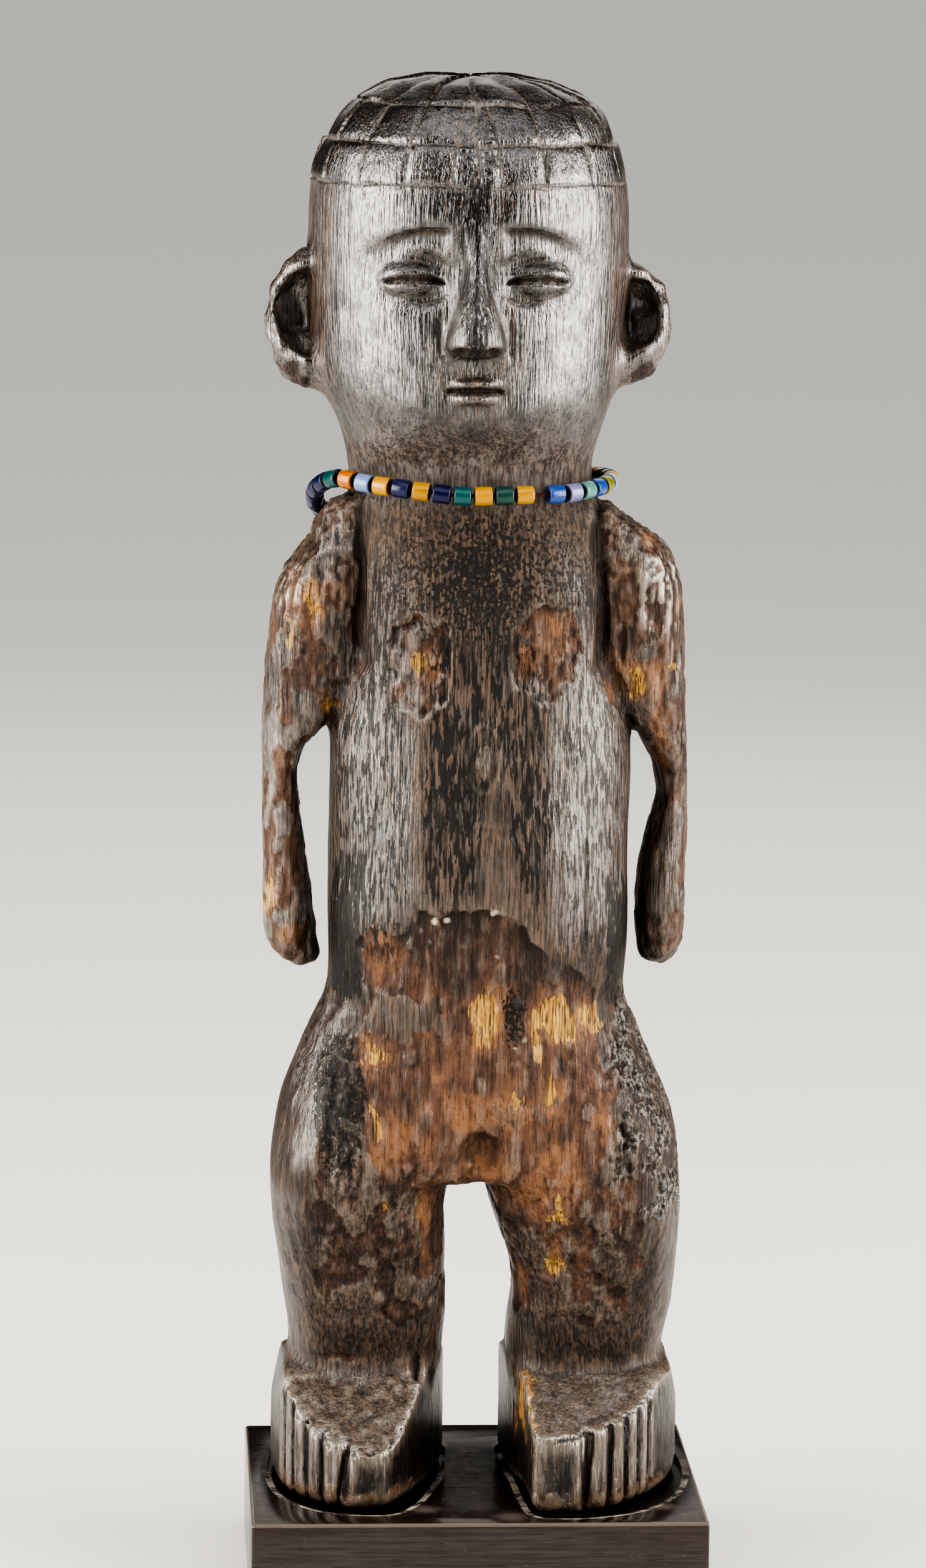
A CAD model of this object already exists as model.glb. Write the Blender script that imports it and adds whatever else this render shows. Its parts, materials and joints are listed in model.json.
from functools import partial
from itertools import product
import json
import math

import bmesh
import bpy
import numpy as np
from mathutils import Matrix, Vector


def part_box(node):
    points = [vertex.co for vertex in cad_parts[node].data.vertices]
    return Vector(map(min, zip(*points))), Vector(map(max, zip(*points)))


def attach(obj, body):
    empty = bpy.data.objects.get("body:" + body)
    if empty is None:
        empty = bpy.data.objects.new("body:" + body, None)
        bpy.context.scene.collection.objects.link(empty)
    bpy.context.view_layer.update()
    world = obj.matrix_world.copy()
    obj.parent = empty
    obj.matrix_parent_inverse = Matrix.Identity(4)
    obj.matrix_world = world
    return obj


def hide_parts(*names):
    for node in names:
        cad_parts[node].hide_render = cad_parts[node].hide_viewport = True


# A carved wooden female figure with a bead necklace, on the base cut out for its feet.
# Carving is measured in millimetres (mm). Heights are counted from the base's top.
# Left and right are the viewer's, looking at the front.

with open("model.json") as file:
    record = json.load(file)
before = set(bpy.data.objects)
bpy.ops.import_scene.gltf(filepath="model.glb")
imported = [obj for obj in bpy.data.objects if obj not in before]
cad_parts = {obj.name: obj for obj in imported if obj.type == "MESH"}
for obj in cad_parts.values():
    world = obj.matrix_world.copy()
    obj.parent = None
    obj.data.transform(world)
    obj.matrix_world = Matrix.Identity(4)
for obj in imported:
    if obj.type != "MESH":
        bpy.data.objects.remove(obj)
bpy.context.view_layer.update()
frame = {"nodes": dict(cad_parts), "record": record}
slots = {part["node"]: part["material_slot"] for part in frame["record"]["subparts"]}

MM = 0.001
BASE_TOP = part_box("base")[1].z / MM

# Camera, as the photograph was taken
PHOTO_HEIGHT = 2514
FOCAL_PIXELS = 10000
SENSOR = 36
CAMERA_PLACE = Vector((-98.2, -1733.6, 514.1)) * MM
CAMERA_TURN = math.radians(3.10)
CAMERA_PITCH = math.radians(9.28)
CAMERA_ROLL = math.radians(0.58)

# Carving of the figure
VOXEL = 0.66
FIGURE_TRIANGLES = 190000
SMOOTHING_ROUNDS = 110
HAIR_RINGS = (371, 382, 392.4)
HAIR_LINES = 16
HAIR_RUNGS = (374.6, 377.6, 380, 384.4, 386.6, 389, 395)
HAIR_CUT_DEPTH = 0.8
CROWN = 399.6
HEAD_MIDDLE = -4.2
EYE_HEIGHT = 346.3
EYE_SPACING = 34
BROW_HEIGHT = 360.3
NOSE_BASE = 326.6
MOUTH_HEIGHT = 315.4
JAW_HEIGHT = 300.4
ANKLE_LEDGE = 34
TOE_HEIGHT = 24
TOE_CUT_DEPTH = 1.5
SCARS = ((-17.8, 239, 8.8, 14), (17.2, 241.5, 9.6, 13.8))
NAVEL = (-0.3, 211.6)
GREY_PATCH = (-22.5, 138.5, 10.5, 6.4)

# What the figure's material is told about each point
FIGURE_MARKS = (
    "wear", "gold", "ochre", "dust", "polish", "hollow", "pale", "glint", "coarse", "drops", "black_grain",
    "speckled",
)

# Fresh wood where the dark skin has chipped off: middle and half size of each patch, from the front
OCHRE_PATCHES = (
    (1, 139.5, 3.6, 8), (21, 138.8, 5.5, 5.6), (30.6, 138, 2.6, 5), (15.6, 131, 2, 4.6),
    (18.8, 118.6, 1.6, 5.5), (9.1, 116, 1.8, 2), (-30, 128, 2.4, 3.6), (-29.8, 107.6, 1.6, 5),
    (-26, 85.4, 1.2, 2.4), (22.5, 84, 1.6, 4), (20.8, 66.2, 1.8, 3.4), (-19.6, 238, 1.9, 5.2),
    (-47.6, 255, 1.6, 8), (-54, 247.6, 1.1, 6), (-59.3, 169.5, 1.6, 8), (43.6, 231, 2.6, 4),
    (53, 236, 1.4, 3), (-42.5, 224, 1.8, 3), (43.6, 233, 1.4, 4), (14.4, 23.5, 1.2, 10),
)
# Golden wood round those patches
GOLD_PATCHES = (
    (1, 139.5, 7, 11), (23, 138, 13, 8.5), (19, 118.6, 4.6, 9), (-30, 127, 5.6, 8), (-25.6, 104, 9.4, 12.5),
    (-28.6, 154.6, 6.4, 8.6), (-12, 120, 5, 7), (20.8, 92, 9.6, 13), (33.7, 107, 4.8, 11), (21.2, 70, 2.6, 8),
    (13.6, 58, 2, 7), (-14.6, 76, 2.6, 17), (0.6, 97, 6.4, 10), (0, 113, 22, 6), (-47.4, 254, 8.6, 11.4),
    (44, 234, 8.6, 8), (46.4, 273, 3, 4), (-59, 170, 3.2, 11), (-42.4, 224, 3.4, 5), (-18, 239, 5, 9),
    (20, 250, 4, 5), (42.6, 234, 2.6, 6), (49, 215, 3, 12), (-54, 158, 3.4, 5), (14.2, 23, 2.2, 12),
    (-39, 36.4, 4.4, 1.8),
)
# Cuts between the toes: where each crosses the toe fronts, its width, and how far it leans from foot to top.
# They point at the ankle.
LEFT_ANKLE = (-30, -4)
LEFT_TOE_CUTS = (
    (-54.6, -13.5, 1.5, 0.4), (-52.4, -18.8, 1.7, 0), (-48.7, -24.4, 1.9, 0.6), (-44.3, -28.6, 2, 0.3),
    (-37.8, -32.4, 3, 2.8),
)
RIGHT_ANKLE = (30, -6)
RIGHT_TOE_CUTS = (
    (30.8, -37.6, 4, 0.5), (37.8, -33.9, 2.4, 0.8), (42.6, -29.6, 2, 0), (46.6, -25.2, 1.9, -0.5),
    (49.8, -20.9, 1.6, 0),
)
# Small pale drops on the belly
DROPS = (
    (-13.6, 167, 1.2), (-10.6, 167.4, 1), (3, 169.5, 1.3), (3.4, 157, 0.6), (12, 133, 0.7), (9, 130.6, 0.7),
)

# Necklace. The glass is deeper in colour than the record's plain solids
BEAD_SIDES = 26
BEAD_RADIUS = 2.62
BEAD_BORE_RADIUS = 1
BEAD_EASE = 0.5
GLASS_GAMMA = 3
STRAND_SIDES = 7
STRAND_RADIUS = 0.36
STRAND_OFFSET = 0.28
STRAND_TWIST = 2.4

# Base: outlines of the two hollows, the dusty line round their fronts, and where dust has gathered beside it
HOLLOW_DEPTH = 2
LEFT_HOLLOW = (
    (-57.6, 20), (-57.4, -4), (-54, -24), (-45, -37.6), (-34, -42.4), (-24.6, -42), (-18.6, -34),
    (-12.4, -14), (-8.2, 8), (-7.2, 32), (-16, 39), (-36, 40), (-54, 36),
)
RIGHT_HOLLOW = (
    (60.4, 20), (60, -7), (55.5, -25), (46.5, -38.6), (36, -45), (25, -47), (16.6, -45), (13.6, -30),
    (12, -6), (9, 14), (8.8, 30), (17, 39), (38, 40), (55, 36),
)
RIM_WIDTH = 2
RIM_DROP = 0.25
BASE_EASE = 0.9
DUST_SPOTS = ((-15, -38, 9), (9, -46, 10), (52, -36, 8))
BASE_MARKS = ("rim", "floor", "edge", "upright")

FLOOR_RADIUS = 30000


# Noise and shaping helpers

def fade(value, start, end):
    """0 at start, 1 at end, and smooth between them."""
    share = np.clip((value - start) / (end - start), 0, 1)
    return share * share * (3 - 2 * share)


def band(value, low, high, soft):
    """1 between low and high, fading over soft outside them."""
    return fade(value, low - soft, low) * fade(value, high + soft, high)


def lumps(points, size, seed):
    """Smooth random values from about -1 to 1, in blobs of one size or of a size along each axis."""
    cells = 32
    table = np.random.default_rng(seed).uniform(-1, 1, (cells, cells, cells))
    place = (points / np.asarray(size, float)).T
    corner = np.floor(place).astype(int)
    share = place - corner
    share = share * share * (3 - 2 * share)
    total = np.zeros(len(points))
    for shift in product((0, 1), repeat=3):
        shift = np.reshape(shift, (3, 1))
        x, y, z = (corner + shift) % cells
        total += np.prod(np.abs(1 - shift - share), axis=0) * table[x, y, z]
    return total * 1.5


def rough_lumps(points, size, seed, octaves=3):
    """Blobs with smaller blobs on them."""
    total = np.zeros(len(points))
    for octave in range(octaves):
        total += lumps(points, np.asarray(size, float) / 2 ** octave, seed + octave) / 2 ** octave
    return total


def ridges(points, size, seed):
    """Sharp crests between round troughs, from 0 to 1."""
    return 1 - np.abs(np.clip(lumps(points, size, seed), -1, 1))


def pits(points, size, seed):
    """0 in the middle of scattered pits of uneven width, rising to 1 between them."""
    cells = 24
    table = np.random.default_rng(seed).uniform(0.1, 0.9, (cells, cells, cells, 4))
    place = points / np.asarray(size, float)
    corner = np.floor(place).astype(int)
    nearest = np.full(len(points), 9.0)
    for shift in product((-1, 0, 1), repeat=3):
        cell = corner + shift
        drawn = table[tuple((cell % cells).T)]
        apart = np.linalg.norm(place - cell - drawn[:, :3], axis=1)
        nearest = np.minimum(nearest, apart / (0.25 + drawn[:, 3]))
    return nearest


def oval(across, up, patch, soft=0.5):
    """1 inside an oval patch (middle across, middle up, half width, half height), fading at its edge."""
    reach = np.hypot((across - patch[0]) / patch[2], (up - patch[1]) / patch[3])
    return fade(reach, 1 + soft / 2, 1 - soft / 2)


def groove(distance, width):
    """1 in the middle of a cut of this width, 0 at its edges."""
    return fade(np.abs(distance), width / 2, 0)


# The mesh that is carved

def placed(name, data):
    """A new object in the scene."""
    made = bpy.data.objects.new(name, data)
    bpy.context.scene.collection.objects.link(made)
    return made


def applied(piece):
    """The piece's mesh with its modifiers applied."""
    graph = bpy.context.evaluated_depsgraph_get()
    return bpy.data.meshes.new_from_object(piece.evaluated_get(graph))


def mark(mesh, name, values):
    """Gives the material a number from 0 to 1 for each point."""
    made = mesh.attributes.new(name, "FLOAT", "POINT")
    made.data.foreach_set("value", np.clip(values, 0, 1).astype(np.float32))


class Carving:
    """A CAD node's surface as points in mm, with even small faces."""

    def __init__(self, node, voxel):
        holder = placed("even_" + node, frame["nodes"][node].data.copy())
        even = holder.modifiers.new("even", "REMESH")
        even.mode = "VOXEL"
        even.voxel_size = voxel * MM
        self.mesh = applied(holder)
        bpy.data.objects.remove(holder)
        self.mesh.materials.clear()
        flat = np.empty(len(self.mesh.vertices) * 3, np.float32)
        self.mesh.vertices.foreach_get("co", flat)
        self.points = flat.reshape(-1, 3).astype(float) / MM
        self.points[:, 2] -= BASE_TOP
        ends = np.empty(len(self.mesh.edges) * 2, np.int32)
        self.mesh.edges.foreach_get("vertices", ends)
        self.ends = ends.reshape(-1, 2).T
        self.degree = np.bincount(ends, minlength=len(self.points))

    def around(self, values):
        """The mean of each point's neighbours."""
        one, other = self.ends
        count = len(self.points)
        total = np.empty_like(values)
        for axis in range(values.shape[1]):
            column = values[:, axis]
            total[:, axis] = np.bincount(one, column[other], count) + np.bincount(other, column[one], count)
        return total / self.degree[:, None]

    def smoothed(self, values, rounds, share=None):
        """values evened out over the surface, fully where share is 1, not at all where it is 0."""
        step = 0.7 if share is None else 0.7 * share[:, None]
        for _ in range(rounds):
            values = values + step * (self.around(values) - values)
        return values

    def normals(self):
        """Stores the points in the mesh, and returns which way the surface faces at each."""
        placed_points = (self.points + (0, 0, BASE_TOP)) * MM
        self.mesh.vertices.foreach_set("co", placed_points.astype(np.float32).ravel())
        self.mesh.update()
        flat = np.empty(len(self.points) * 3, np.float32)
        self.mesh.vertex_normals.foreach_get("vector", flat)
        return flat.reshape(-1, 3).astype(float)

    def raise_by(self, amount, normals):
        """Moves the surface out by amount, or in where amount is negative."""
        self.points = self.points + normals * amount[:, None]


def even_out(carving):
    """Rounds off the flat faces of the solid, gently where it is thin or finely carved."""
    x, y, z = carving.points.T
    front = fade(-y, 12, 22)
    aside = np.abs(x - HEAD_MIDDLE)
    eyes = oval(aside, z, (EYE_SPACING / 2, EYE_HEIGHT, 14, 11.5), 0.3) * front
    nose = fade(aside, 13, 9) * band(z, NOSE_BASE - 3, BROW_HEIGHT + 2, 3) * front
    mouth = oval(x, z, (HEAD_MIDDLE, MOUTH_HEIGHT, 12, 7), 0.3) * front
    ears = fade(np.maximum(-47 - x, x - 38.6), 0, 2) * band(z, 310, 354, 2)
    hair = fade(z, 366, 370)
    feet = fade(z, ANKLE_LEDGE + 1, ANKLE_LEDGE - 2)
    niche = band(x, -6, 7.2, 2) * band(z, 86, 107, 2) * front
    face = np.maximum(np.maximum(eyes, nose), mouth)
    arms = arm_share(carving.points)
    kept = np.max([0.95 * face, 0.92 * ears, 0.8 * hair, 0.92 * feet, 0.6 * niche, 0.86 * arms], axis=0)
    carving.points = carving.smoothed(carving.points, SMOOTHING_ROUNDS, 1 - kept)


def hair_grid(points):
    """Distances to the hair's engraved lines, and each point's place in its cell between them."""
    x, y, z = points.T
    slices = np.arange(360, CROWN, 1.5)
    extent = []
    for low in slices:
        inside = points[np.abs(z - low) < 1.2]
        extent.append((inside[:, 0].min(), inside[:, 0].max(), inside[:, 1].min(), inside[:, 1].max()))
    left, right, front, back = (np.interp(z, slices, side) for side in np.array(extent).T)
    power = 2.3 / 2
    across = (2 * x - left - right) / (right - left)
    along = (2 * y - front - back) / (back - front)
    angle = np.arctan2(
        np.sign(along) * np.abs(along) ** power,
        np.sign(across) * np.abs(across) ** power,
    )
    turn = angle * HAIR_LINES / (2 * math.pi) + 0.06 * lumps(points, 9, 31)
    reach = np.hypot(x - (left + right) / 2, y - (front + back) / 2)
    column = np.floor(turn)
    beside = turn - column
    spacing = 2 * math.pi * reach / HAIR_LINES
    to_line = np.minimum(beside, 1 - beside) * spacing
    wavy = z + 0.6 * lumps(points, (14, 14, 30), 32)
    to_ring = np.min([np.abs(wavy - ring) for ring in HAIR_RINGS], axis=0)
    row = np.searchsorted(HAIR_RINGS, wavy)
    edges = np.array((HAIR_RINGS[0] - 9, *HAIR_RINGS, CROWN))
    up = (wavy - edges[row]) / (edges[np.minimum(row + 1, len(edges) - 1)] - edges[row] + 1e-9)
    return to_line, to_ring, column.astype(int), row, 2 * beside - 1, np.clip(2 * up - 1, -1, 1)


def carve_hair(carving):
    """The engraved net of hair lines over small flat facets. Returns how deep in a cut each point is."""
    normals = carving.normals()
    points = carving.points
    x, y, z = points.T
    hair = fade(z, HAIR_RINGS[0] - 1.2, HAIR_RINGS[0] - 0.2)
    to_line, to_ring, column, row, beside, up = hair_grid(points)
    below_crown = fade(z, CROWN - 0.4, CROWN - 2.5)
    uneven = 0.75 + 0.35 * lumps(points, 7, 33)
    cut = np.maximum(groove(to_line, 1.5) * below_crown, groove(to_ring, 1.3)) * uneven
    front = fade(-y, 5, 14)
    for line, top in ((HEAD_MIDDLE - 6.6, 397), (HEAD_MIDDLE + 6.6, 396)):
        drawn_in = fade(z, 372, 412)
        thin = groove(x - line * (1 - drawn_in) - HEAD_MIDDLE * drawn_in, 1.2)
        cut = np.maximum(cut, 0.7 * thin * front * fade(z, top, top - 3))
    between = band(x, HEAD_MIDDLE - 6, HEAD_MIDDLE + 6, 0.8) * front
    for rung in HAIR_RUNGS:
        cut = np.maximum(cut, 0.3 * groove(z - rung + 0.06 * (x - HEAD_MIDDLE), 0.9) * between)
    cut *= hair
    tilt = np.random.default_rng(7).uniform(-1, 1, (HAIR_LINES + 2, len(HAIR_RINGS) + 2, 2))
    lean = tilt[column % HAIR_LINES, row]
    facet = 0.6 * lean[:, 0] * beside + 0.55 * lean[:, 1] * up + 0.3 * (1 - beside ** 2) * below_crown
    carving.raise_by(hair * (facet * (1 - cut) - HAIR_CUT_DEPTH * cut), normals)
    return cut


def carve_face(carving):
    """Lidded eyes under brows, and a small closed mouth. Returns how deep in a cut each point is."""
    normals = carving.normals()
    x, y, z = carving.points.T
    front = fade(-normals[:, 1], 0.1, 0.5) * fade(-y, 16, 22)
    aside = np.abs(x - HEAD_MIDDLE)
    from_eye = aside - EYE_SPACING / 2
    slit_line = z - EYE_HEIGHT + 0.4 + 0.016 * from_eye ** 2
    opening = 2.9 * np.sqrt(np.clip(1 - (from_eye / 9) ** 2, 0.02, 1))
    slit = fade(np.abs(slit_line), opening / 2, opening / 5) * fade(np.abs(from_eye), 9, 7.6) * front
    lid = oval(from_eye, z, (0, EYE_HEIGHT - 0.6, 9.6, 4.6), 0.5) * front
    socket = oval(from_eye, z, (0.4, EYE_HEIGHT + 1.4, 14, 10), 0.6) * (1 - lid) * front
    arch = np.clip(aside - 13, 0, 99)
    brow_line = BROW_HEIGHT - 0.6 - 0.024 * arch ** 2
    brow = fade(z, brow_line + 0.5, brow_line - 0.5) * fade(z, brow_line - 9, brow_line - 1.5)
    brow *= fade(aside, 6, 10) * fade(aside, 31, 18) * front
    lips_line = z - MOUTH_HEIGHT + 0.007 * (x - HEAD_MIDDLE) ** 2
    lips = groove(lips_line, 2) * fade(aside, 8.8, 7) * front
    full = (groove(lips_line - 2.1, 3.6) + groove(lips_line + 2.4, 4.4)) * fade(aside, 8.4, 3.5) * front
    nostril = fade(np.hypot(aside - 4.4, z - NOSE_BASE + 0.4), 2.2, 0.4) * fade(-y, 38, 41)
    wing = groove(aside - 9.6, 2) * band(z, NOSE_BASE, NOSE_BASE + 7, 2) * fade(-y, 33, 36) * front
    ridge = groove(aside, 7) * band(z, NOSE_BASE + 4, BROW_HEIGHT - 4, 4) * fade(-y, 41, 43)
    relief = 0.7 * lid - 2.2 * slit - 1.1 * socket - 1.7 * brow - 1.7 * lips + 0.8 * full - 1.6 * nostril
    below_jaw = JAW_HEIGHT + 0.012 * (x - HEAD_MIDDLE) ** 2 - z
    under_chin = fade(below_jaw, -4, 5) * fade(below_jaw, 22, 6)
    chin = fade(aside, 27, 12) * front
    relief += 0.5 * ridge - 0.6 * wing + chin * (0.8 * groove(below_jaw + 7, 13) - 0.9 * under_chin)
    carving.raise_by(relief, normals)
    return np.max([slit, 0.9 * lips, 0.8 * nostril, 0.5 * brow * fade(z, brow_line - 4, brow_line)], axis=0)


def carve_toes(carving):
    """The cuts between the toes. Returns how deep in a cut each point is."""
    normals = carving.normals()
    x, y, z = carving.points.T
    cut = rounding = np.zeros(len(x))
    waver = 0.7 * lumps(carving.points, (5, 5, 9), 35)
    for (ankle_x, ankle_y), cuts in ((LEFT_ANKLE, LEFT_TOE_CUTS), (RIGHT_ANKLE, RIGHT_TOE_CUTS)):
        for toe_x, toe_y, width, lean in cuts:
            length = math.hypot(toe_x - ankle_x, toe_y - ankle_y)
            ahead_x, ahead_y = (toe_x - ankle_x) / length, (toe_y - ankle_y) / length
            along = (x - ankle_x) * ahead_x + (y - ankle_y) * ahead_y
            off = (y - ankle_y) * ahead_x - (x - ankle_x) * ahead_y - lean * (z / TOE_HEIGHT - 0.5)
            wide = 0.65 * width * np.interp(z, (0, 12, 22), (0.5, 0.8, 1.2))
            slit = groove(off + waver, np.maximum(wide, 1.2))
            reach = fade(along, length - 7, length - 2)
            cut = np.maximum(cut, slit * reach * min(1, 0.5 + 0.2 * width))
            rounding = np.maximum(rounding, groove(off, 5) * reach)
    cut *= fade(z, 27, 22)
    carving.raise_by(-(TOE_CUT_DEPTH * cut + 0.3 * rounding) * fade(normals[:, 2], 0.95, 0.5), normals)
    return cut


def arm_edges(z):
    """Where the arms meet the trunk, seen from the front."""
    left = np.interp(z, (149, 215, 236, 290), (-44, -43.6, -33.6, -34.6))
    right = np.interp(z, (149, 213, 234, 290), (44, 43.4, 32.6, 31.6))
    return left, right


def arm_share(points):
    """1 on the arms and shoulders, 0 on the rest."""
    x, _, z = points.T
    left_edge, right_edge = arm_edges(z)
    left = fade(x, left_edge + 0.8, left_edge - 0.8)
    right = fade(x, right_edge - 0.8, right_edge + 0.8)
    return np.maximum(left, right) * band(z, 149, 284, 1)


def carve_figure():
    carving = Carving("figure", VOXEL)
    even_out(carving)
    hair_cut = carve_hair(carving)
    face_cut = carve_face(carving)
    toe_cut = carve_toes(carving)
    normals = carving.normals()

    # Places on the surface, with ragged edges
    points = carving.points
    rough = partial(rough_lumps, points)
    x, y, z = points.T
    ragged_x = x + 1.3 * rough((4, 4, 6), 11)
    ragged_z = z + 1.8 * rough((3.5, 3.5, 6), 15)
    spot = partial(oval, ragged_x, ragged_z)
    front = fade(-normals[:, 1], 0.05, 0.45)
    near_front = fade(-normals[:, 1], -0.2, 0.3)
    behind_only = fade(normals[:, 1], 0.3, 0.7)
    side = fade(np.abs(normals[:, 0]), 0.35, 0.85)
    aside = np.abs(x - HEAD_MIDDLE)
    arms = arm_share(points)
    trunk = 1 - arms
    on_head = fade(z, 292, 302)
    on_hair = fade(z, HAIR_RINGS[0] - 1, HAIR_RINGS[0] + 1)
    on_feet = fade(z, ANKLE_LEDGE + 1, ANKLE_LEDGE - 3)
    foot_tops = on_feet * fade(normals[:, 2], 0.3, 0.7)
    on_ears = fade(np.maximum(-48 - x, x - 39.6), 0, 2) * band(z, 310, 354, 2)
    body = (1 - on_head) * (1 - on_feet)

    # Where the dark skin is worn through to the wood, and how golden the wood is there
    wandering_x = x + 5 * lumps(points, (13, 13, 9), 72)
    belly_edge = np.interp(wandering_x, (-44, -30, -14, 10, 23, 42), (156, 162, 171, 169, 149, 144))
    belly_edge = belly_edge + 2.4 * rough(7, 73)
    belly_soft = 1.5 + 5 * fade(x, 8, 26)
    torn_x = x + 4 * rough((6, 6, 10), 17)
    pelvis = oval(torn_x, ragged_z, (2, 124, 39, 50), 0.6) * front
    pelvis *= fade((z - belly_edge) / belly_soft, 1, -1)
    legs = band(ragged_z, 50, 98, 6) * fade(np.abs(ragged_x), 50, 42) * front
    inner_legs = band(z, 52, 100, 6) * fade(np.abs(x), 20, 12)
    behind = 0.5 * band(ragged_z, 50, 150, 20) * fade(normals[:, 1], 0, 0.5)
    left_forearm = fade(z, 240, 215) * fade(x, 0, -10)
    scar = sum(spot(patch, 0.3) for patch in SCARS) * front
    grey_patch = spot(GREY_PATCH, 0.4) * front
    wear = np.max([
        0.9 * pelvis, 0.48 * legs, 0.6 * inner_legs, behind, 0.75 * scar, arms * (0.6 - 0.12 * left_forearm),
        0.5 * on_ears * fade(z, 326, 318),
    ], axis=0)
    wear = wear * (1 - 0.85 * grey_patch)
    gold = np.zeros(len(x))
    for patch in GOLD_PATCHES:
        gold = np.maximum(gold, spot(patch, 1.2) * near_front)
    wear = np.maximum(wear, 0.9 * gold)
    soles = on_feet * fade(z, 8, 1) * front
    wear = np.maximum(wear, 0.7 * soles)
    gold = np.max([
        gold, pelvis * (0.2 + 0.35 * fade(ragged_z, 156, 134)), legs * (0.2 + 0.14 * fade(x, -5, 15)),
        scar * (0.45 + 0.2 * fade(x, -5, 5)), arms * (0.36 + 0.22 * left_forearm), 0.4 * inner_legs,
        0.6 * soles,
    ], axis=0)
    ochre = np.zeros(len(x))
    wavering_x = x + 1.1 * rough((2, 2, 6), 41) + 1.4 * lumps(points, (5, 5, 4), 42)
    for patch in OCHRE_PATCHES:
        ochre = np.maximum(ochre, oval(wavering_x, ragged_z, patch, 1) * near_front)
    chip_noise = rough((5, 5, 8), 21, 4)
    chipped = fade(wear + 0.45 * chip_noise, 0.4, 0.66) * fade(wear, 0.08, 0.3)

    # Grain that runs up the log, deeper where the wood is bare, on an uneven hand-cut surface
    grain = 0.6 * ridges(points, (1.5, 1.5, 26), 51) + 0.4 * ridges(points, (2.8, 2.8, 40), 52)
    fibres = ridges(points, (2.4, 2.4, 11), 53)
    relief = 0.35 * rough((19, 19, 26), 57, 2) * body
    relief += (grain - 0.6) * (0.12 + 0.08 * body + 0.2 * chipped * body) * (1 - 0.8 * on_feet)
    rough_arms = arms * (1 - 0.45 * band(z, 172, 222, 10))
    relief += (fibres - 0.5) * rough_arms * 0.45
    relief -= 0.4 * chipped * body
    relief += 0.28 * rough((3, 3, 7), 61) * (0.12 + 0.7 * chipped * (1 - 0.6 * legs))
    relief += 0.3 * rough((9, 9, 7), 60) * legs
    relief -= 0.3 * fade(rough((2.6, 2.6, 7), 62), 0.35, 0.8) * legs
    relief += (0.18 * rough((8, 8, 14), 65) + 0.2 * rough((2.6, 2.6, 16), 66)) * rough_arms
    relief -= 0.38 * fade(rough((3, 3, 9), 69), 0.35, 0.8) * rough_arms
    relief -= 0.3 * ochre

    # Breast scars are rough inside a low rim
    scar_rim = sum(groove(np.hypot((ragged_x - sx) / rx, (ragged_z - sh) / rh) - 1, 0.24)
                   for sx, sh, rx, rh in SCARS) * front
    relief += scar * (0.6 * rough((3.4, 3.4, 5), 71) - 0.25) + 0.4 * scar_rim

    # Navel, the ledge under the belly, a crack beside it, and the creases where the arms begin
    navel_x, navel_z = NAVEL
    navel = oval(x, z, (navel_x, navel_z, 2.2, 4.7), 0.5) * front
    navel_ring = groove(np.hypot((x - navel_x) / 4.6, (z - navel_z - 1) / 9.4) - 1, 0.3) * front
    relief += 0.7 * navel + 0.3 * navel_ring * trunk
    under_belly = fade(z, belly_edge + 1, belly_edge - 0.4) * band(z, belly_edge - 6, belly_edge, 9)
    relief -= 0.4 * under_belly * band(x, -23, 12, 9) * front * trunk
    crack = groove(x - 28.6 - 0.4 * lumps(points, 9, 77), 1.2) * band(z, 162, 188, 2)
    crack *= front * trunk
    relief -= 0.8 * crack
    left_edge, right_edge = arm_edges(z)
    wavy_x = x + 0.9 * lumps(points, (6, 6, 13), 78)
    crease = np.maximum(groove(wavy_x - left_edge, 4.6), groove(wavy_x - right_edge, 4.6)) * near_front
    crease *= band(z, 238, 281, 4)
    relief -= 1.2 * crease

    # The left thigh's smooth worn edge, wrinkled at its top, and the pits on the outside of the right thigh
    edge_x = np.interp(z, (93, 122, 140), (-48.5, -48, -39))
    thigh_edge = fade(np.abs(ragged_x - edge_x), 5.5, 2) * band(ragged_z, 96, 139, 5) * near_front
    wrinkles = ridges(points, (6, 6, 2.6), 99) - 0.5
    relief += thigh_edge * (0.6 + 0.3 * rough((3, 3, 9), 98))
    relief += 0.7 * wrinkles * spot((-43, 131, 9, 13), 0.8) * near_front
    very_ragged = z + 5 * rough(8, 80)
    right_thigh = band(very_ragged, 86, 140, 7) * fade(ragged_x, 33, 40)
    left_thigh = 0.6 * band(very_ragged, 92, 128, 8) * band(ragged_x, -44, -35, 3)
    pitted = np.maximum(right_thigh, left_thigh) * (1 - thigh_edge)
    pitted *= fade(rough((7, 7, 8), 79), -0.7, 0.1)
    pit = np.zeros(len(x))
    near = pitted > 0.02
    wander = [lumps(points[near], 2.4, seed) for seed in (93, 94, 95)]
    shifted = points[near] + 1.2 * np.stack(wander, 1)
    pit[near] = fade(pits(shifted, (2.3, 2.3, 3.6), 81), 0.66, 0.25)
    pit *= pitted
    relief -= 0.85 * pit
    relief += 0.6 * (ridges(points, (2.4, 2.4, 7), 83) - 0.5) * pitted

    # Broken shoulders
    shoulder = band(z, 262, 284, 3) * arms
    relief += 0.45 * rough(3, 85) * shoulder
    notch = fade(np.hypot(x + 50.6, (z - 273) * 0.8), 4, 1)
    relief -= 1.6 * notch * arms

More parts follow.
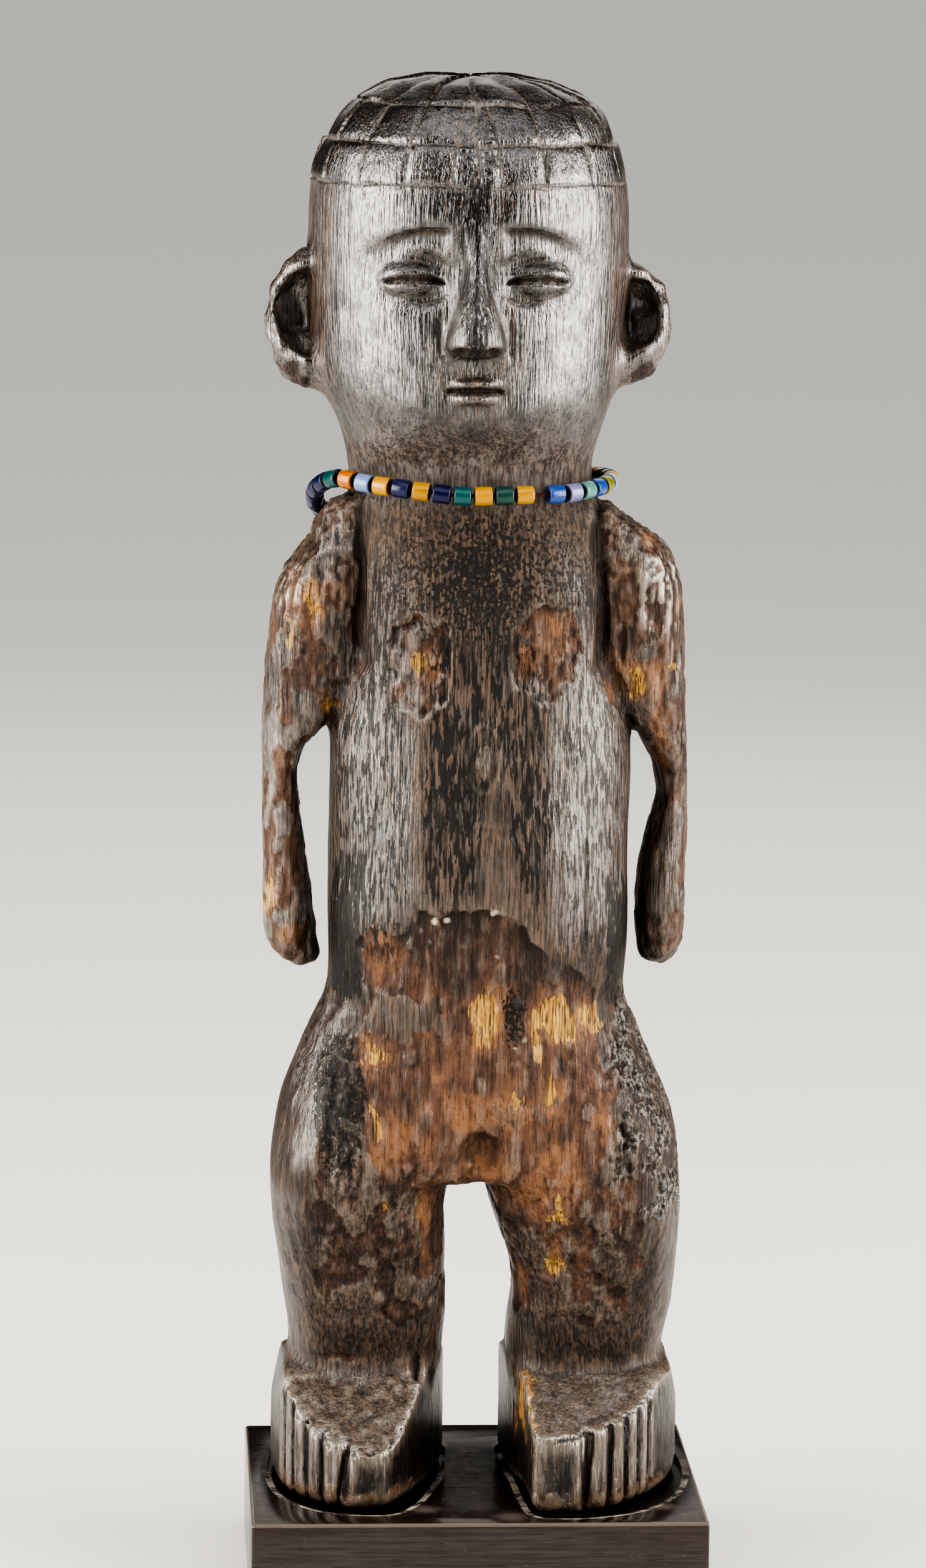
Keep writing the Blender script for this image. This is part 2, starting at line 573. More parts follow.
    # Feet: crumbly tops, chipped toe edges, and a chip beside the left ankle
    relief += 0.2 * rough(2, 87) * foot_tops
    relief += 0.4 * rough((8, 8, 5), 88) * foot_tops
    ankle_chip = fade(np.hypot(np.hypot(x + 15.4, y + 11), 0.7 * (z - 34)), 3.6, 1.4)
    relief -= 2.8 * ankle_chip
    toe_top = on_feet * band(normals[:, 2], 0.25, 0.6, 0.2) * fade(-y, 16, 22)
    relief -= 0.7 * fade(rough(3, 97), 0.1, 0.6) * toe_top

    # Ears with a hacked rim, drops, and the hollow and cleft of the back
    relief += 0.8 * rough((5, 5, 6), 91, 2) * on_ears
    drops = np.zeros(len(x))
    for drop_x, drop_z, radius in DROPS:
        reach = np.hypot(x - drop_x, z - drop_z) + 0.3 * lumps(points, 1.2, 96)
        drops = np.maximum(drops, fade(reach, radius, 0.4 * radius) * front)
    relief += 0.5 * drops
    relief -= 1.1 * groove(x - 0.6, 11) * band(z, 150, 262, 16) * behind_only
    relief -= 2.4 * groove(x - 0.8, 6) * band(z, 92, 122, 6) * behind_only

    carving.raise_by(relief, normals)
    normals = carving.normals()

    # How far each point stands out of its surroundings
    broad = carving.smoothed(carving.points, 14)
    stands_out = np.sum((carving.points - broad) * normals, axis=1)
    hollow = fade(stands_out, -0.03, -0.3)
    crest = fade(stands_out, 0.03, 0.22)

    # Dust, black grain and speckles where the skin is dull, and the polish of handling
    hair_line = fade(hair_cut, 0.2, 0.6)
    neck_dust = 0.8 * fade(z, 322, 288) * fade(z, 274, 286)
    chest = oval(x, z, (-2, 264, 40, 34), 1) * front * trunk
    middle = fade(np.abs(x), 30, 14) * band(z, 160, 262, 14) * front * trunk
    centre_face = oval(x, z, (HEAD_MIDDLE, 326, 15, 28), 1) * front * (1 - on_hair)
    temples = fade(aside, 32, 41) * on_head * (1 - on_ears) * (1 - 0.6 * on_hair)
    right_flank = band(ragged_x, 24, 39, 12) * band(z, 160, 262, 12) * front * trunk
    left_flank = band(ragged_x, -40, -26, 12) * band(z, 160, 262, 12) * front * trunk
    ankle_dust = band(ragged_z, ANKLE_LEDGE - 2, ANKLE_LEDGE + 1, 4) * near_front
    dust = np.max([
        0.8 * chest, 0.8 * neck_dust, 0.7 * middle, 0.9 * foot_tops * (1 - crest), 0.4 * centre_face,
        0.4 * body, 0.16 * on_head, hair_line, 0.8 * face_cut, 0.8 * toe_cut, 0.5 * temples,
        0.6 * hollow * on_head,
        0.75 * right_flank, 0.5 * left_flank, 0.8 * ankle_dust, pitted, 0.45 * thigh_edge, 0.5 * on_ears,
        0.6 * legs, 0.9 * grey_patch, 0.7 * arms * left_forearm, 0.9 * scar,
    ], axis=0)
    pale = np.max([
        0.85 * hair_line, 0.3 * temples, 0.4 * right_flank, 0.25 * left_flank, 0.4 * ankle_dust,
        0.2 * toe_cut, 0.2 * foot_tops * (1 + 1.4 * fade(x, 0, 10)),
        0.7 * neck_dust, 0.3 * thigh_edge, 0.7 * pitted * (1 - 0.8 * pit), 0.25 * face_cut, 0.3 * middle,
        0.33 * legs, 0.3 * grey_patch, 0.6 * arms * left_forearm, 0.1 * on_ears, 0.8 * scar,
    ], axis=0)
    left_shade = band(x, -50, -36, 4) * band(z, 148, 178, 7)
    right_shade = band(x, 37, 50, 3) * band(z, 146, 172, 7)
    black_grain = np.max([
        0.75 * oval(ragged_x, z, (-9, 199, 8, 30), 0.9), 0.55 * oval(ragged_x, z, (13, 198, 6, 28), 0.9),
        0.4 * oval(x, z, (0, 232, 20, 26), 0.8), 1.9 * left_shade, 1.6 * right_shade, 0.35 * left_flank,
        0.3 * right_flank,
    ], axis=0) * trunk
    face_grain = 0.9 * oval(x, z, (HEAD_MIDDLE, 348, 4.5, 26), 0.6)
    black_grain = np.max([black_grain, face_grain, 0.3 * on_feet * (1 - foot_tops)], axis=0) * front
    speckled = np.max([
        0.85 * oval(x, z, (-1.3, 264, 15, 15), 1.2), 0.35 * oval(x, z, (0, 262, 34, 24), 0.9),
        oval(x, z, (8.4, 139, 4, 8), 0.5), 1.3 * oval(x, z, (-39, 113, 6.5, 18), 0.7),
        0.2 * legs, 0.45 * pitted, 0.1 * pelvis, 0.15 * foot_tops,
    ], axis=0) * (1 - fade(gold, 0.45, 0.8))
    torso_sides = band(np.abs(x), 22, 60, 8) * band(z, 168, 262, 14) * trunk
    skull = on_head * (1 - on_hair)
    polish = np.max([
        on_hair, skull * fade(aside, 9, 17), 0.75 * skull, 0.5 * torso_sides, 0.5 * thigh_edge,
        0.6 * band(z, 40, 84, 8) * side, 0.6 * on_feet * (1 - foot_tops) * fade(z, 4, 26),
        0.3 * foot_tops, 0.25 * arms, 0.6 * arms * fade(np.abs(x), 52, 60), 0.8 * on_ears, 0.1 + 0 * x,
    ], axis=0) * (1 - 0.8 * chipped) * (1 - 0.6 * neck_dust) * (1 - 0.4 * temples)
    worn_tops = np.max([
        oval(x, z, (-56, 262, 6, 11)), oval(x, z, (49, 257, 7, 14)), 0.7 * oval(x, z, (-62, 196, 4, 28)),
        0.7 * oval(x, z, (62, 196, 4, 36)), 0.4 * arms, 0.12 * pitted, on_feet, 0.5 * scar_rim, 0.3 * body,
    ], axis=0)
    glint = crest * worn_tops
    polish = np.maximum(polish, 0.95 * glint)
    polish *= (1 - 0.9 * np.maximum(hair_line, fade(face_cut, 0.2, 0.6)))
    polish *= (1 - 0.7 * chest) * (1 - ankle_chip)
    deep = np.max([
        hollow * (1 - 0.8 * fade(toe_cut, 0, 0.3)), 0.15 * fade(toe_cut, 0.4, 1), 0.6 * pit, 0.9 * crack,
        ankle_chip, 0.8 * crease,
    ], axis=0) * (1 - hair_line) * (1 - 0.5 * scar) * (1 - 0.5 * on_ears)
    marks = (
        0.5 * chipped + 0.5 * wear, gold, ochre, dust, polish, deep, pale, glint, pitted, drops, black_grain,
        speckled,
    )
    for name, values in zip(FIGURE_MARKS, marks):
        mark(carving.mesh, name, values)
    return carving.mesh


def thinned(mesh, name, triangles):
    """An object with the mesh at no more than this many triangles."""
    piece = placed(name, mesh)
    mesh.calc_loop_triangles()
    thin = piece.modifiers.new("thin", "DECIMATE")
    thin.ratio = min(1, triangles / len(mesh.loop_triangles))
    piece.data = applied(piece)
    piece.modifiers.clear()
    piece.data.validate()
    surface = bmesh.new()
    surface.from_mesh(piece.data)
    stray = [face for face in surface.faces if all(len(edge.link_faces) != 2 for edge in face.edges)]
    bmesh.ops.delete(surface, geom=stray, context="FACES_ONLY")
    surface.to_mesh(piece.data)
    surface.free()
    piece.data.shade_smooth()
    return piece


# Materials

def linear(part, gamma=2.4):
    """One part of a colour, 0 to 1, as the shader needs it."""
    return ((part + 0.055) / 1.055) ** gamma if part > 0.04 else part / 12.92


def srgb(code):
    """A colour given as six hexadecimal digits."""
    return (*(linear(int(code[start:start + 2], 16) / 255) for start in (1, 3, 5)), 1)


class Signal:
    """A node's output, which can be added, multiplied, faded and shaken."""

    def __init__(self, look, socket):
        self.look = look
        self.socket = socket

    def __add__(self, other):
        return self.look.sum("ADD", self, other)

    def __mul__(self, other):
        return self.look.sum("MULTIPLY", self, other)

    def __sub__(self, other):
        return self.look.sum("SUBTRACT", self, other)

    def __rsub__(self, other):
        return self.look.sum("SUBTRACT", other, self)

    def over(self, other):
        """The larger of the two."""
        return self.look.sum("MAXIMUM", self, other)

    def shaken(self, noise, amount):
        """This with the noise's swings added to it."""
        return self + self.look.sum("MULTIPLY_ADD", noise, amount, -amount / 2)

    def fade(self, start, end, low=0, high=1):
        """low where this is start, high where it is end, and smooth between them."""
        inputs = {"Value": self, "From Min": start, "From Max": end, "To Min": low, "To Max": high}
        return self.look.node("ShaderNodeMapRange", inputs, interpolation_type="SMOOTHSTEP")


class Look:
    """A material made of nodes that end in one Principled shader."""

    def __init__(self, name):
        self.material = bpy.data.materials.new(name)
        self.material.use_nodes = True
        self.tree = self.material.node_tree
        self.shader = self.tree.nodes["Principled BSDF"].inputs
        self.place = Signal(self, self.tree.nodes.new("ShaderNodeTexCoord").outputs["Object"])

    def feed(self, socket, value):
        if isinstance(value, Signal):
            self.tree.links.new(value.socket, socket)
        else:
            socket.default_value = srgb(value) if isinstance(value, str) else value

    def node(self, kind, inputs, output=0, **settings):
        made = self.tree.nodes.new(kind)
        for key, value in settings.items():
            setattr(made, key, value)
        for key, value in inputs.items():
            self.feed(made.inputs[key], value)
        return Signal(self, made.outputs[output])

    def sum(self, operation, *values):
        return self.node("ShaderNodeMath", dict(enumerate(values)), operation=operation)

    def noise(self, size, detail, roughness, seed):
        """Noise in blobs of the given size in mm along x, y and z, from 0 to 1."""
        scale = [1 / (part * MM) for part in size]
        placing = {"Vector": self.place, "Location": (seed, seed, seed), "Scale": scale}
        place = self.node("ShaderNodeMapping", placing)
        inputs = {"Vector": place, "Scale": 1, "Detail": detail, "Roughness": roughness}
        return self.node("ShaderNodeTexNoise", inputs, "Fac")

    def attribute(self, name):
        return self.node("ShaderNodeAttribute", {}, "Fac", attribute_name=name)

    def mix(self, share, one, other):
        """Two colours mixed."""
        return self.node("ShaderNodeMix", {0: share, 6: one, 7: other}, 2, data_type="RGBA")

    def blend(self, share, one, other):
        """Two numbers mixed."""
        return self.node("ShaderNodeMix", {0: share, 2: one, 3: other}, data_type="FLOAT")

    def bump(self, height, depth, below=None):
        """Raises the surface by height, 0 to 1, times depth in mm."""
        inputs = {"Height": height, "Distance": depth * MM, "Strength": 1}
        if below is not None:
            inputs["Normal"] = below
        return self.node("ShaderNodeBump", inputs)

    def end(self, color, roughness, normal=None, shine=0.5):
        self.feed(self.shader["Base Color"], color)
        self.feed(self.shader["Roughness"], roughness)
        self.shader["Specular IOR Level"].default_value = shine
        if normal is not None:
            self.feed(self.shader["Normal"], normal)
        return self.material


def carved_wood():
    """Old dark skin, polished or dusty, worn through to brown and ochre wood."""
    look = Look("carved_wood")
    wear, gold, ochre, dust, polish, hollow, pale, glint, coarse, drops, black_grain, speckled = (
        look.attribute(name) for name in FIGURE_MARKS
    )
    fine_grain = look.noise((0.5, 0.5, 10), 2.5, 0.6, 3)
    grain = look.noise((0.9, 0.9, 20), 3, 0.6, 5)
    broad = look.noise((8, 8, 18), 3, 0.6, 9)
    speckle = look.noise((1.1, 1.1, 1.7), 3, 0.65, 13)
    patches = look.noise((4.4, 4.4, 6), 5, 0.7, 17)
    clouds = look.noise((11, 11, 14), 5, 0.65, 23)
    dashes = look.noise((0.9, 0.9, 6.5), 2.5, 0.55, 29)
    specks = look.noise((0.9, 0.9, 1.3), 2, 0.5, 31)

    skin = look.mix(broad.fade(0.35, 0.7), "#0a0706", "#1b130d")
    skin = look.mix(fine_grain.shaken(patches, 0.6).fade(0.52, 0.68, 0, 0.55), skin, "#49362a")
    film = look.mix(grain.fade(0.4, 0.6), "#2d241c", "#534235")
    film = look.mix(patches.fade(0.46, 0.6, 0, 0.4), film, "#251b14")
    pale_dust = look.mix((grain + patches).fade(0.8, 1.2), "#433f3c", "#6c6560")
    film = look.mix(pale.shaken(clouds, 0.5).shaken(patches, 0.5).fade(0.2, 0.8), film, pale_dust)
    dusty = dust.shaken(clouds, 0.6).shaken(grain, 0.6).fade(0.2, 0.66)
    color = look.mix(dusty, skin, film)

    golden = gold.shaken(clouds, 1.7).shaken(grain, 0.9).shaken(patches, 1.3)
    wood = look.mix(golden.fade(0.05, 0.6), "#241a13", "#4f3628")
    wood = look.mix(golden.fade(0.5, 1.2), wood, "#735035")
    wood = look.mix(broad.fade(0.5, 0.66, 0, 0.6), wood, "#35231d")
    wood = look.mix(fine_grain.fade(0.54, 0.64, 0, 0.25), wood, "#6b513e")
    wood = look.mix(speckle.fade(0.43, 0.35, 0, 0.4), wood, "#1a110b")
    worn = wear.shaken(grain, 0.35).shaken(patches, 0.8).fade(0.25, 0.62) * (1 - coarse)
    color = look.mix(worn, color, wood)
    fresh = look.mix(fine_grain.fade(0.38, 0.62), "#64431c", "#a58345")
    color = look.mix(ochre.shaken(grain, 1).shaken(fine_grain, 0.5).fade(0.42, 0.72), color, fresh)

    black = (black_grain * 0.18 + dashes).fade(0.575, 0.605) * black_grain.fade(0.05, 0.4)
    dots = (speckled * 0.2 + specks).fade(0.59, 0.63) * speckled.fade(0.05, 0.4)
    pores = fine_grain.fade(0.42, 0.36)
    dark = black.over(dots).over(pores * 0.7).over(hollow * 0.65)
    color = look.mix(dark * 0.92, color, "#090706")
    color = look.mix(glint * 0.33, color, "#8b7b69")
    color = look.mix(drops, color, "#9d917f")

    rough = look.blend(polish, 0.55, 0.3)
    rough = look.blend(worn, rough, patches.fade(0.35, 0.65, 0.5, 0.75))
    rough = look.blend(dusty * (1 - polish), rough, 0.7).shaken(speckle, 0.2)

    normal = look.bump(fine_grain * 0.7 + grain - black * 0.5, 0.3)
    crumb = speckle * dusty.over(worn).fade(0, 1, 0.15, 0.8) * polish.fade(0.1, 0.6, 1, 0.3)
    normal = look.bump(crumb - dots * 0.4 + coarse * dashes * 1.3, 0.35, normal)
    wax = polish * patches.fade(0.3, 0.6, 0.45, 1) * dark.fade(0, 1, 1, 0.2)
    look.feed(look.shader["Coat Weight"], wax)
    look.shader["Coat IOR"].default_value = 2.2
    look.shader["Coat Roughness"].default_value = 0.22
    look.feed(look.shader["Coat Normal"], normal)
    return look.end(color, rough, normal, 0.3)


def stained_wood():
    """Polished dark wood with its grain along the base, and a pale worn line round the hollows."""
    look = Look("stained_wood")
    rim, floor, edge, upright = (look.attribute(name) for name in BASE_MARKS)
    grain = look.noise((30, 2.2, 1.1), 4, 0.6, 2)
    pore = look.noise((9, 0.5, 0.4), 2, 0.5, 6)
    wash = look.noise((60, 14, 20), 3, 0.5, 8)
    dust = look.noise((4, 4, 4), 5, 0.7, 12)
    color = look.mix(grain.fade(0.3, 0.7), "#231e1c", "#373130")
    color = look.mix(wash.fade(0.4, 0.7, 0, 0.5), color, "#2b1d19")
    color = look.mix(upright.fade(0, 1, 0.75, 0), color, "#1a0c08")
    color = look.mix(upright.fade(0, 1, 0, 0.1), color, "#5b5654")
    color = look.mix(pore.fade(0.46, 0.36, 0, 0.35), color, "#0a0504")
    color = look.mix(floor, color, "#060404")
    gathered = dust.fade(0.6, 0.75, 0, 0.15)
    for spot_x, spot_y, reach in DUST_SPOTS:
        ends = {0: look.place, 1: (spot_x * MM, spot_y * MM, BASE_TOP * MM)}
        apart = look.node("ShaderNodeVectorMath", ends, "Value", operation="DISTANCE")
        spot = apart.fade(reach * MM, 0).shaken(dust, 0.5)
        gathered = gathered.over(spot.fade(0.2, 1.2, 0, 0.5))
    gathered = gathered * (1 - floor)
    color = look.mix(gathered, color, "#6d645b")
    worn_line = look.mix(dust.fade(0.4, 0.6), "#262120", "#847c71")
    color = look.mix(rim, color, worn_line)
    color = look.mix(edge * 0.5, color, "#6e645c")
    rough = dust.fade(0.35, 0.7, 0.14, 0.26).shaken(pore, 0.08)
    rough = look.blend(rim.over(gathered), rough, 0.6)
    return look.end(color, rough, look.bump(pore, 0.03), 0.3)


def bead_glass(slot, base):
    """Opaque drawn glass, streaked along the tube and ground dull at the ends."""
    look = Look(slot)
    tint, ends = look.attribute("tint"), look.attribute("ends")
    streaks = look.noise((0.7, 0.7, 9), 3, 0.6, 1)
    specks = look.noise((0.5, 0.5, 0.5), 3, 0.6, 4)
    light = (*(0.85 * part + 0.004 for part in base), 1)
    plain = (*(0.55 * part for part in base), 1)
    dark = (*(0.3 * part for part in base), 1)
    color = look.mix(tint.shaken(streaks, 0.9), plain, light)
    color = look.mix(streaks.fade(0.45, 0.32), color, dark)
    color = look.mix(ends.shaken(specks, 0.6).fade(0.45, 0.9, 0, 0.8), color, "#1c130e")
    rough = look.blend(ends, 0.2, 0.5).shaken(specks, 0.2)
    return look.end(color, rough, look.bump(streaks + specks * 0.5, 0.06))


def spun_cotton():
    look = Look("spun_cotton")
    fuzz = look.noise((0.25, 0.25, 0.25), 3, 0.7, 3)
    color = look.mix(fuzz.fade(0.35, 0.65), "#32120b", "#642a1b")
    return look.end(color, fuzz.fade(0.3, 0.7, 0.75, 0.95), look.bump(fuzz, 0.1), 0.3)


# Pieces

def stand_in(piece, node, material):
    """Puts a finished piece in a CAD node's place."""
    piece.data.materials.clear()
    piece.data.materials.append(material)
    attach(piece, "root")
    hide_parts(node)


def new_mesh(name, points, faces):
    """A mesh with its points given in mm."""
    mesh = bpy.data.meshes.new(name)
    mesh.from_pydata((np.array(points) * MM).tolist(), [], faces)
    return mesh


def quads(levels, count, closed=True):
    """Faces between neighbouring rings of count points, and from the last ring to the first if closed."""
    faces = []
    for level in range(levels if closed else levels - 1):
        low, high = level * count, (level + 1) % levels * count
        for side in range(count):
            beside = (side + 1) % count
            faces.append((low + side, low + beside, high + beside, high + side))
    return faces


def make_figure():
    piece = thinned(carve_figure(), "figure_carving", FIGURE_TRIANGLES)
    stand_in(piece, "figure", carved_wood())


def closed_spline(corners, steps):
    """A smooth closed line through the corners, with the same easing as the solid's outlines."""
    corners = np.asarray(corners, float)
    found = []
    for index in range(len(corners)):
        p0, p1, p2, p3 = (corners[(index + shift) % len(corners)] for shift in (-1, 0, 1, 2))
        d1, d2, d3 = (math.sqrt(np.linalg.norm(b - a)) for a, b in ((p0, p1), (p1, p2), (p2, p3)))
        slope1 = ((p1 - p0) / d1 - (p2 - p0) / (d1 + d2) + (p2 - p1) / d2) * d2
        slope2 = ((p2 - p1) / d2 - (p3 - p1) / (d2 + d3) + (p3 - p2) / d3) * d2
        for step in range(steps):
            t = step / steps
            found.append(
                (2 * t ** 3 - 3 * t ** 2 + 1) * p1 + (t ** 3 - 2 * t ** 2 + t) * slope1
                + (3 * t ** 2 - 2 * t ** 3) * p2 + (t ** 3 - t ** 2) * slope2
            )
    return np.array(found)


def ring_solid(name, rings):
    """A closed mesh object through rings of points, in mm, capped at both ends."""
    count = len(rings[0])
    points = np.concatenate(rings)
    faces = quads(len(rings), count, closed=False)
    faces.append(tuple(range(count))[::-1])
    faces.append(tuple(range(len(points) - count, len(points))))
    mesh = new_mesh(name, points, faces)
    fixer = bmesh.new()
    fixer.from_mesh(mesh)
    bmesh.ops.recalc_face_normals(fixer, faces=fixer.faces)
    fixer.to_mesh(mesh)
    fixer.free()
    return placed(name, mesh)


def hollow_cutter(name, corners):
    """What is cut out of the base for one foot: an upright hollow with a narrow chamfer at its rim."""
    line = closed_spline(corners, 12)
    ahead = np.roll(line, -1, axis=0) - np.roll(line, 1, axis=0)
    outward = np.stack([ahead[:, 1], -ahead[:, 0]], axis=1) / np.linalg.norm(ahead, axis=1)[:, None]
    if np.sum((line - line.mean(axis=0)) * outward) < 0:
        outward = -outward
    rings = []
    for height, spread in ((-HOLLOW_DEPTH, 0), (-RIM_DROP, 0), (0, RIM_WIDTH), (3, RIM_WIDTH)):
        flat = line + outward * spread
        rings.append(np.column_stack([flat, np.full(len(flat), BASE_TOP + height)]))
    return ring_solid(name, rings)


def make_base():
    """The block with eased edges and the two hollows that the feet stand in."""
    low, high = (np.array(corner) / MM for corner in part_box("base"))
    square = np.array(((low[0], low[1]), (high[0], low[1]), (high[0], high[1]), (low[0], high[1])))
    block = ring_solid("base_block", [
        np.column_stack([square, np.full(4, low[2])]), np.column_stack([square, np.full(4, high[2])]),
    ])
    ease = block.modifiers.new("ease", "BEVEL")
    ease.width = BASE_EASE * MM
    ease.segments = 3
    cutters = [hollow_cutter("left_hollow", LEFT_HOLLOW), hollow_cutter("right_hollow", RIGHT_HOLLOW)]
    for cutter in cutters:
        cut = block.modifiers.new("cut", "BOOLEAN")
        cut.operation = "DIFFERENCE"
        cut.solver = "EXACT"
        cut.object = cutter
    block.data = applied(block)
    block.modifiers.clear()
    for cutter in cutters:
        bpy.data.objects.remove(cutter)
    mesh = block.data
    for name in BASE_MARKS:
        mesh.attributes.new(name, "FLOAT", "FACE")
    rim, floor, edge, upright = (mesh.attributes[name].data for name in BASE_MARKS)
    top = high[2] * MM
    for face in mesh.polygons:
        inside = abs(face.center.x) < (high[0] - 2) * MM and abs(face.center.y) < (high[1] - 2) * MM
        above = face.center.z > top - (HOLLOW_DEPTH + 0.1) * MM
        sloping = 0.2 < face.normal.z < 0.998
        rim[face.index].value = float(inside and above and sloping) * float(fade(-face.center.y / MM, -8, 6))
        edge[face.index].value = float(not inside and sloping)
        floor[face.index].value = float(above and inside and face.center.z < top - RIM_DROP * MM)
        upright[face.index].value = float(abs(face.normal.z) < 0.5 and not inside)
    mesh.shade_smooth()
    mesh.set_sharp_from_angle(angle=math.radians(25))
    stand_in(block, "base", stained_wood())


def bead_axis(node):
    """A CAD bead's middle, the direction of its bore, and its length in mm."""
    corners = np.array([vertex.co for vertex in frame["nodes"][node].data.vertices])
    middle = corners.mean(axis=0)
    _, directions = np.linalg.eigh(np.cov((corners - middle).T))
    axis = Vector(directions[:, -1])
    reach = (corners - middle) @ np.array(axis)
    return Vector(middle), axis, (reach.max() - reach.min()) / MM


def make_bead(node, rng, materials):
    """A short tube with eased, slightly slanted ends round its bore. Returns its middle in mm."""
    middle, axis, length = bead_axis(node)
    half = length * rng.uniform(0.97, 1) / 2
    outer = BEAD_RADIUS * rng.uniform(0.95, 1)
    ease = BEAD_EASE * rng.uniform(0.8, 1.2)
    profile = [(BEAD_BORE_RADIUS, -half + 0.25), (BEAD_BORE_RADIUS + 0.25, -half)]
    for angle in np.linspace(0, math.pi / 2, 5):
        profile.append((outer - ease + ease * math.sin(angle), -half + ease - ease * math.cos(angle)))
    profile.append((outer + 0.03, 0))
    full = profile + [(radius, -along) for radius, along in reversed(profile[:-1])]
    slant = rng.uniform(-0.05, 0.05, 4)
    points = []
    for radius, along in full:
        slant_x, slant_y = slant[:2] if along > 0 else slant[2:]
        for side in range(BEAD_SIDES):
            turn = 2 * math.pi * side / BEAD_SIDES
            across, deep = radius * math.cos(turn), radius * math.sin(turn)
            points.append((across, deep, along + (slant_x * across + slant_y * deep) * min(1, abs(along))))
    mesh = new_mesh("glass_" + node, points, quads(len(full), BEAD_SIDES))
    reach = np.abs(np.array(points)[:, 2]) / half
    mark(mesh, "ends", fade(reach, 0.78, 1.05))
    mark(mesh, "tint", np.full(len(points), rng.uniform(0, 0.7)))
    mesh.shade_smooth()
    piece = placed("glass_" + node, mesh)
    roll = Matrix.Rotation(rng.uniform(0, 2 * math.pi), 4, "Z")
    piece.matrix_world = Matrix.Translation(middle) @ axis.to_track_quat("Z", "Y").to_matrix().to_4x4() @ roll
    stand_in(piece, node, materials[slots[node]])
    return middle / MM


def make_thread(middles):
    """Two strands twisted together, through the middles of all the beads."""
    line = closed_spline([list(middle) for middle in middles], 14)
    ahead = np.roll(line, -1, axis=0) - np.roll(line, 1, axis=0)
    pitch = np.linalg.norm(ahead, axis=1)
    ahead /= pitch[:, None]
    aside = np.cross(ahead, (0, 0, 1))
    aside /= np.linalg.norm(aside, axis=1)[:, None]
    upward = np.cross(aside, ahead)
    travelled = np.cumsum(pitch) / 2
    turns = round(travelled[-1] / STRAND_TWIST)
    phase = 2 * math.pi * turns * travelled / travelled[-1]
    points, faces = [], []
    for angle in (phase, phase + math.pi):
        start = len(points)
        faces += [tuple(start + corner for corner in face[::-1]) for face in quads(len(line), STRAND_SIDES)]
        core = line + STRAND_OFFSET * (np.cos(angle)[:, None] * aside + np.sin(angle)[:, None] * upward)
        for step in range(len(line)):
            for side in range(STRAND_SIDES):
                turn = 2 * math.pi * side / STRAND_SIDES
                outward = math.cos(turn) * aside[step] + math.sin(turn) * upward[step]
                points.append(core[step] + STRAND_RADIUS * outward)
    mesh = new_mesh("thread_strands", points, faces)
    mesh.shade_smooth()
    stand_in(placed("thread_strands", mesh), "necklace_thread", spun_cotton())


def make_necklace():
    materials = {}
    for material in frame["record"]["materials"]:
        if material["slot"].startswith("glass_"):
            color = [linear(part, GLASS_GAMMA) for part in material["base_color"][:3]]
            materials[material["slot"]] = bead_glass(material["slot"], color)
    rng = np.random.default_rng(19)
    nodes = sorted(node for node in frame["nodes"] if node.startswith("bead_"))
    make_thread([make_bead(node, rng, materials) for node in nodes])


# Stage

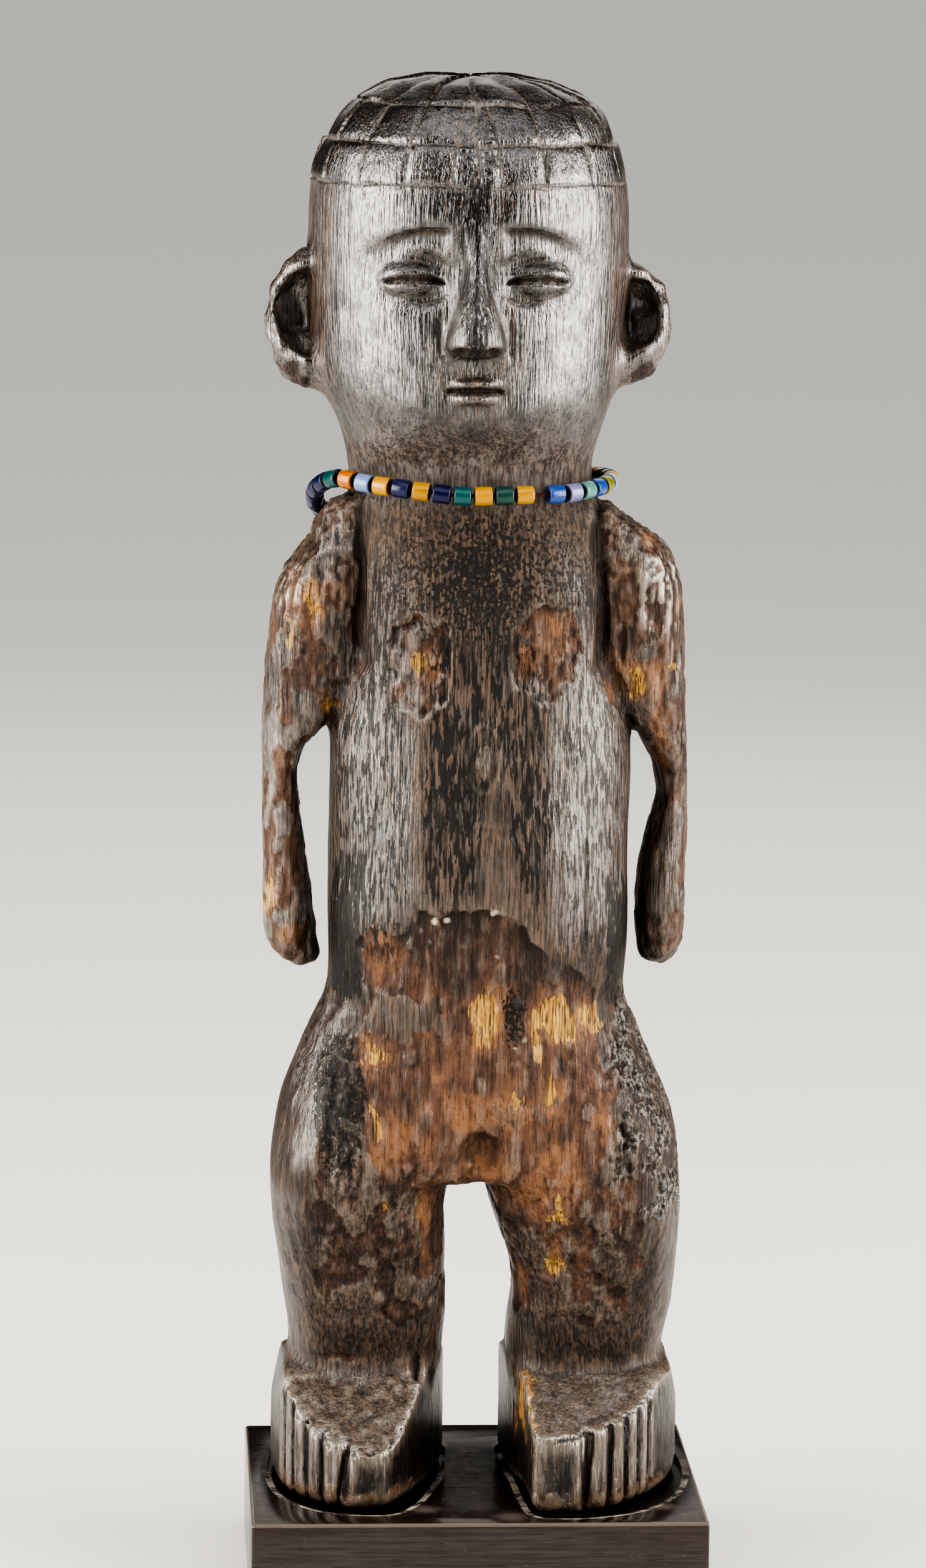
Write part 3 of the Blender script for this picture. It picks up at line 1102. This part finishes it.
def make_camera():
    ahead = Vector((
        math.sin(CAMERA_TURN) * math.cos(CAMERA_PITCH),
        math.cos(CAMERA_TURN) * math.cos(CAMERA_PITCH),
        -math.sin(CAMERA_PITCH),
    ))
    right = ahead.cross(Vector((0, 0, 1))).normalized()
    up = right.cross(ahead)
    rolled_right = math.cos(CAMERA_ROLL) * right + math.sin(CAMERA_ROLL) * up
    rolled_up = math.cos(CAMERA_ROLL) * up - math.sin(CAMERA_ROLL) * right
    camera = placed("camera", bpy.data.cameras.new("camera"))
    camera.data.sensor_width = SENSOR
    camera.data.lens = FOCAL_PIXELS * SENSOR / PHOTO_HEIGHT
    camera.data.clip_end = 100
    turn = Matrix((rolled_right, rolled_up, -ahead)).transposed()
    camera.matrix_world = Matrix.Translation(CAMERA_PLACE) @ turn.to_4x4()
    bpy.context.scene.camera = camera


def softbox(name, place, width, height, power):
    """A soft light aimed at the middle of the figure."""
    lamp = bpy.data.lights.new(name, "AREA")
    lamp.shape = "RECTANGLE"
    lamp.size, lamp.size_y = width, height
    lamp.energy = power
    lamp.color = (1, 0.96, 0.9)
    holder = placed(name, lamp)
    holder.location = place
    holder.rotation_euler = (Vector((0, 0, 0.24)) - Vector(place)).to_track_quat("-Z", "Y").to_euler()


def make_world():
    """Pale all round, but dim in reflections, so that dark gloss stays dark."""
    world = bpy.data.worlds.new("studio")
    world.use_nodes = True
    tree = world.node_tree
    rays = tree.nodes.new("ShaderNodeLightPath").outputs["Is Glossy Ray"]
    strength = tree.nodes.new("ShaderNodeMix")
    strength.inputs[2].default_value = 0.5
    strength.inputs[3].default_value = 0.06
    tree.links.new(rays, strength.inputs[0])
    background = tree.nodes["Background"]
    background.inputs["Color"].default_value = srgb("#d2d0cd")
    tree.links.new(strength.outputs[0], background.inputs["Strength"])
    bpy.context.scene.world = world


def make_stage():
    turns = np.linspace(0, 2 * math.pi, 64, endpoint=False)
    rim = [(FLOOR_RADIUS * math.cos(turn), FLOOR_RADIUS * math.sin(turn), 0) for turn in turns]
    floor = placed("floor", new_mesh("floor", rim, [list(range(len(rim)))]))
    floor.data.materials.append(Look("pale_floor").end("#d4d2ce", 0.75))
    softbox("left_softbox", (-1.1, -0.42, 0.5), 1.1, 1.2, 36)
    softbox("right_softbox", (1.1, -0.46, 0.5), 1.1, 1.2, 36)
    softbox("back_softbox", (0.2, 1.4, 0.9), 1.2, 0.8, 3)
    above = bpy.data.lights.new("soft_sun", "SUN")
    above.energy = 1.2
    above.angle = math.radians(60)
    placed("soft_sun", above).rotation_euler = (math.radians(25), 0, 0)
    make_world()
    bpy.context.scene.view_settings.look = "AgX - Very High Contrast"


make_camera()
make_stage()
make_base()
make_necklace()
make_figure()

bpy.context.view_layer.update()
